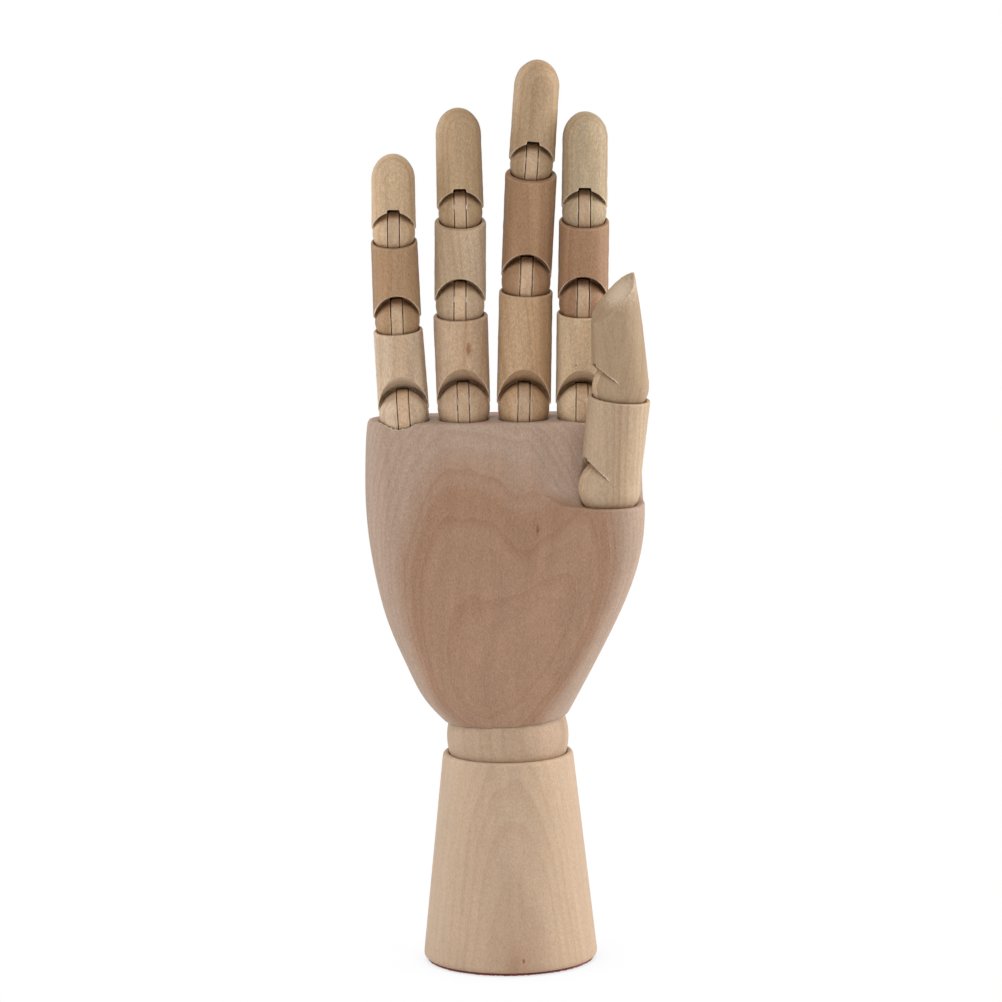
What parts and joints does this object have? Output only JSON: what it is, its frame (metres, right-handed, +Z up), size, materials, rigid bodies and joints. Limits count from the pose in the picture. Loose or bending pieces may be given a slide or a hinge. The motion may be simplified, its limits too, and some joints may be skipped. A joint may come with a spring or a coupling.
{
  "type": "articulated hand mannequin",
  "caption": "Jointed wooden model of a right hand with slotted ball joints in every finger and thumb, a sprung ball wrist and a turned cone base.",
  "frame": {"origin": "centre of the felt's underside, on the table", "axes": "+Z up along the forearm, -Y is the palm side, +X is the thumb side of this right hand"},
  "size_m": [0.0955, 0.0634, 0.3054],
  "materials": {
    "forearm_wood": "fine sanded, unvarnished pale hardwood",
    "palm_wood": "fine sanded, unvarnished pinkish brown hardwood",
    "finger_wood": "fine sanded, unvarnished hardwood, varied from pale cream to tan",
    "tongue_wood": "sawn, unvarnished hardwood",
    "steel": "plain drawn wire",
    "felt": "pressed wool felt"
  },
  "bodies": {
    "forearm": {"forearm_base": "forearm_wood", "base_felt": "felt", "spring_anchor_pin": "steel"},
    "wrist_ball": {"wrist_ball": "forearm_wood"},
    "wrist_spring": {"wrist_spring": "steel"},
    "palm": {"palm": "palm_wood", "palm_screw_eye": "steel", "little_knuckle_tongue": "tongue_wood", "ring_knuckle_tongue": "tongue_wood", "middle_knuckle_tongue": "tongue_wood", "index_knuckle_tongue": "tongue_wood", "thumb_knuckle_tongue": "tongue_wood"},
    "little_lower_segment": {"little_lower_segment": "finger_wood", "little_knuckle_pin": "steel", "little_mid_joint_tongue": "tongue_wood"},
    "little_middle_segment": {"little_middle_segment": "finger_wood", "little_mid_joint_pin": "steel", "little_end_joint_tongue": "tongue_wood"},
    "little_tip_segment": {"little_tip_segment": "finger_wood", "little_end_joint_pin": "steel"},
    "ring_lower_segment": {"ring_lower_segment": "finger_wood", "ring_knuckle_pin": "steel", "ring_mid_joint_tongue": "tongue_wood"},
    "ring_middle_segment": {"ring_middle_segment": "finger_wood", "ring_mid_joint_pin": "steel", "ring_end_joint_tongue": "tongue_wood"},
    "ring_tip_segment": {"ring_tip_segment": "finger_wood", "ring_end_joint_pin": "steel"},
    "middle_lower_segment": {"middle_lower_segment": "finger_wood", "middle_knuckle_pin": "steel", "middle_mid_joint_tongue": "tongue_wood"},
    "middle_middle_segment": {"middle_middle_segment": "finger_wood", "middle_mid_joint_pin": "steel", "middle_end_joint_tongue": "tongue_wood"},
    "middle_tip_segment": {"middle_tip_segment": "finger_wood", "middle_end_joint_pin": "steel"},
    "index_lower_segment": {"index_lower_segment": "finger_wood", "index_knuckle_pin": "steel", "index_mid_joint_tongue": "tongue_wood"},
    "index_middle_segment": {"index_middle_segment": "finger_wood", "index_mid_joint_pin": "steel", "index_end_joint_tongue": "tongue_wood"},
    "index_tip_segment": {"index_tip_segment": "finger_wood", "index_end_joint_pin": "steel"},
    "thumb_lower_segment": {"thumb_lower_segment": "finger_wood", "thumb_knuckle_pin": "steel", "thumb_end_joint_tongue": "tongue_wood"},
    "thumb_tip_segment": {"thumb_tip_segment": "finger_wood", "thumb_end_joint_pin": "steel"}
  },
  "joints": [
    {"name": "wrist_turn", "type": "hinge", "parent": "forearm", "child": "wrist_ball", "pos_m": [0, 0, 0.0767], "axis": [0, 0, 1], "range_deg": [-90, 90]},
    {"name": "wrist_bend", "type": "hinge", "parent": "wrist_ball", "child": "wrist_spring", "pos_m": [0, 0, 0.0767], "axis": [1, 0, 0], "range_deg": [-20, 20], "deforming": ["wrist_spring"]},
    {"name": "wrist_sway", "type": "hinge", "parent": "wrist_spring", "child": "palm", "pos_m": [0, 0, 0.0767], "axis": [0, 1, 0], "range_deg": [-15, 15], "deforming": ["wrist_spring"]},
    {"name": "little_knuckle", "type": "hinge", "parent": "palm", "child": "little_lower_segment", "pos_m": [-0.0332, -0.0025, 0.1872], "axis": [0.9985, 0, 0.0541], "range_deg": [-10, 70]},
    {"name": "little_mid_joint", "type": "hinge", "parent": "little_lower_segment", "child": "little_middle_segment", "pos_m": [-0.0349, -0.0025, 0.21865], "axis": [0.9997, 0, 0.0244], "range_deg": [-10, 80]},
    {"name": "little_end_joint", "type": "hinge", "parent": "little_middle_segment", "child": "little_tip_segment", "pos_m": [-0.03563, -0.0025, 0.24824], "axis": [1, 0, -0.0035], "range_deg": [-10, 65]},
    {"name": "ring_knuckle", "type": "hinge", "parent": "palm", "child": "ring_lower_segment", "pos_m": [-0.0132, -0.0025, 0.189], "axis": [0.9998, 0, 0.0209], "range_deg": [-10, 70]},
    {"name": "ring_mid_joint", "type": "hinge", "parent": "ring_lower_segment", "child": "ring_middle_segment", "pos_m": [-0.01392, -0.0025, 0.22359], "axis": [0.9998, 0, -0.0175], "range_deg": [-10, 80]},
    {"name": "ring_end_joint", "type": "hinge", "parent": "ring_middle_segment", "child": "ring_tip_segment", "pos_m": [-0.01338, -0.0025, 0.25479], "axis": [0.9999, 0, 0.0122], "range_deg": [-10, 65]},
    {"name": "middle_knuckle", "type": "hinge", "parent": "palm", "child": "middle_lower_segment", "pos_m": [0.0068, -0.0025, 0.1887], "axis": [0.9995, 0, -0.0314], "range_deg": [-10, 70]},
    {"name": "middle_mid_joint", "type": "hinge", "parent": "middle_lower_segment", "child": "middle_middle_segment", "pos_m": [0.00814, -0.0025, 0.23138], "axis": [0.9982, 0, -0.0593], "range_deg": [-10, 80]},
    {"name": "middle_end_joint", "type": "hinge", "parent": "middle_middle_segment", "child": "middle_tip_segment", "pos_m": [0.01046, -0.0025, 0.27041], "axis": [0.9969, 0, -0.0785], "range_deg": [-10, 65]},
    {"name": "index_knuckle", "type": "hinge", "parent": "palm", "child": "index_lower_segment", "pos_m": [0.0262, -0.0025, 0.1884], "axis": [0.9997, 0, -0.0227], "range_deg": [-10, 13]},
    {"name": "index_mid_joint", "type": "hinge", "parent": "index_lower_segment", "child": "index_middle_segment", "pos_m": [0.027, -0.0025, 0.22379], "axis": [0.9997, 0, -0.0262], "range_deg": [-10, 48]},
    {"name": "index_end_joint", "type": "hinge", "parent": "index_middle_segment", "child": "index_tip_segment", "pos_m": [0.02781, -0.0025, 0.25448], "axis": [0.9997, 0, -0.0236], "range_deg": [-10, 65]},
    {"name": "thumb_knuckle", "type": "hinge", "parent": "palm", "child": "thumb_lower_segment", "pos_m": [0.0349, -0.0205, 0.1644], "axis": [-0.3325, 0.9382, 0.0959], "range_deg": [-45, 12]},
    {"name": "thumb_end_joint", "type": "hinge", "parent": "thumb_lower_segment", "child": "thumb_tip_segment", "pos_m": [0.03885, -0.02259, 0.19851], "axis": [-0.3325, 0.9382, 0.0959], "range_deg": [-48, 15]}
  ]
}
